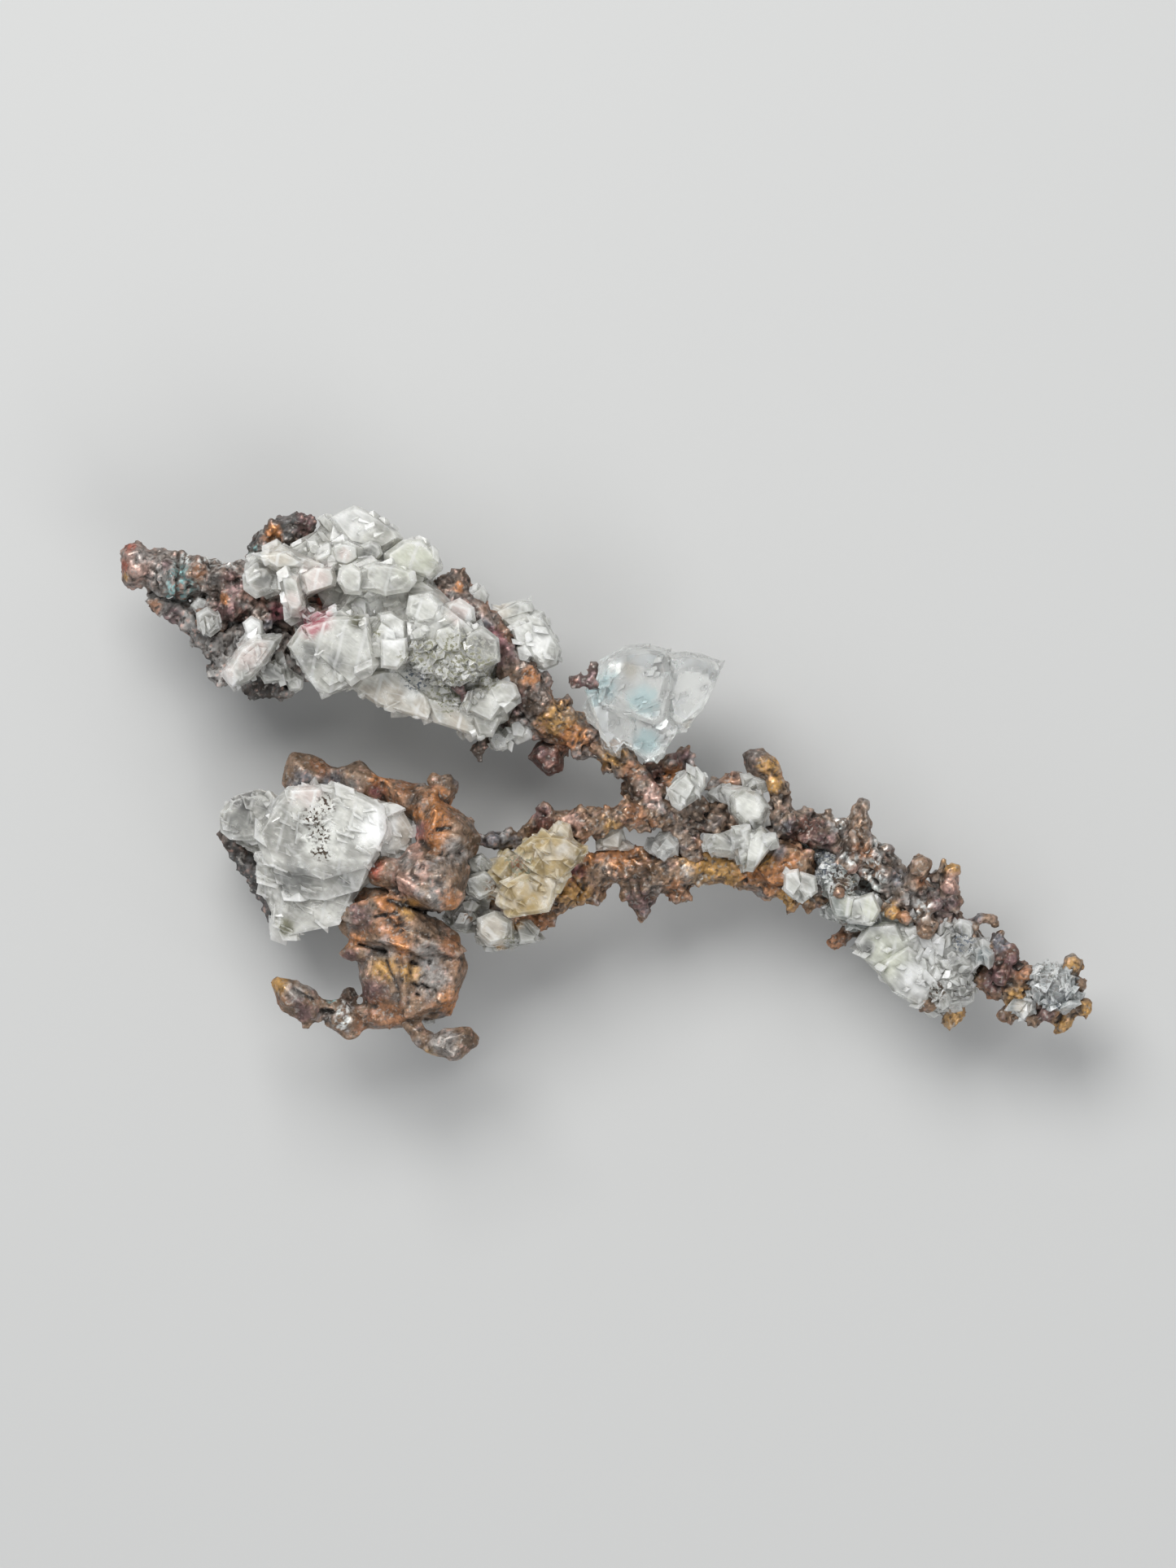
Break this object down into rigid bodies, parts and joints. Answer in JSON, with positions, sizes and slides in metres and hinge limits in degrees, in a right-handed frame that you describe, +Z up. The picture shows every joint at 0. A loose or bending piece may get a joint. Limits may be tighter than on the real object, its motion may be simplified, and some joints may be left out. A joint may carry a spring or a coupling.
{
  "type": "native copper nugget",
  "caption": "Flat, forked branching growth of tarnished native copper set with clear and white calcite crystals, lying on its back.",
  "frame": {"origin": "under the middle of the bounding box, on the surface that the nugget lies on", "axes": "+X along the length, from the left arms to the single right arm; +Y across, towards the crystal-laden upper arm; +Z up from the surface, out of the face that shows the crystals"},
  "size_m": [0.119, 0.068, 0.027],
  "materials": {
    "native_copper": "tarnished native copper, rust brown and orange with golden, purple and dark grey patches, granular",
    "calcite": "clear to milky calcite with cleavage faces and internal veils",
    "dark_matrix": "dark grey crumbly matrix with traces of green"
  },
  "bodies": {
    "root": {"copper_upper_arm": "native_copper", "copper_fork": "native_copper", "copper_right_arm": "native_copper", "copper_lower_arm": "native_copper", "copper_bridge": "native_copper", "copper_fin": "dark_matrix", "copper_plate_upper": "native_copper", "copper_plate_lower": "native_copper", "copper_prong": "native_copper", "copper_tail": "native_copper", "copper_foot": "native_copper", "copper_tip": "native_copper", "copper_sprout": "native_copper", "copper_spur_left": "native_copper", "copper_spur_right": "native_copper", "matrix_root": "dark_matrix", "matrix_rim": "dark_matrix", "calcite_root_cluster": "calcite", "calcite_root_chip": "calcite", "calcite_upper_mass": "calcite", "calcite_perched": "calcite", "calcite_beside_ribbon": "calcite", "calcite_pair": "calcite", "calcite_fork_large": "calcite", "calcite_fork_small": "calcite", "calcite_yellow": "calcite", "calcite_lower_left": "calcite", "calcite_under_bridge": "calcite", "calcite_gap_side": "calcite", "calcite_heart": "calcite", "calcite_stem": "calcite", "calcite_white_low": "calcite", "calcite_collar": "calcite", "calcite_right_mass": "calcite", "calcite_end": "calcite", "calcite_end_chip": "calcite", "calcite_plate_speck": "calcite", "calcite_large_left": "calcite"}
  },
  "joints": []
}
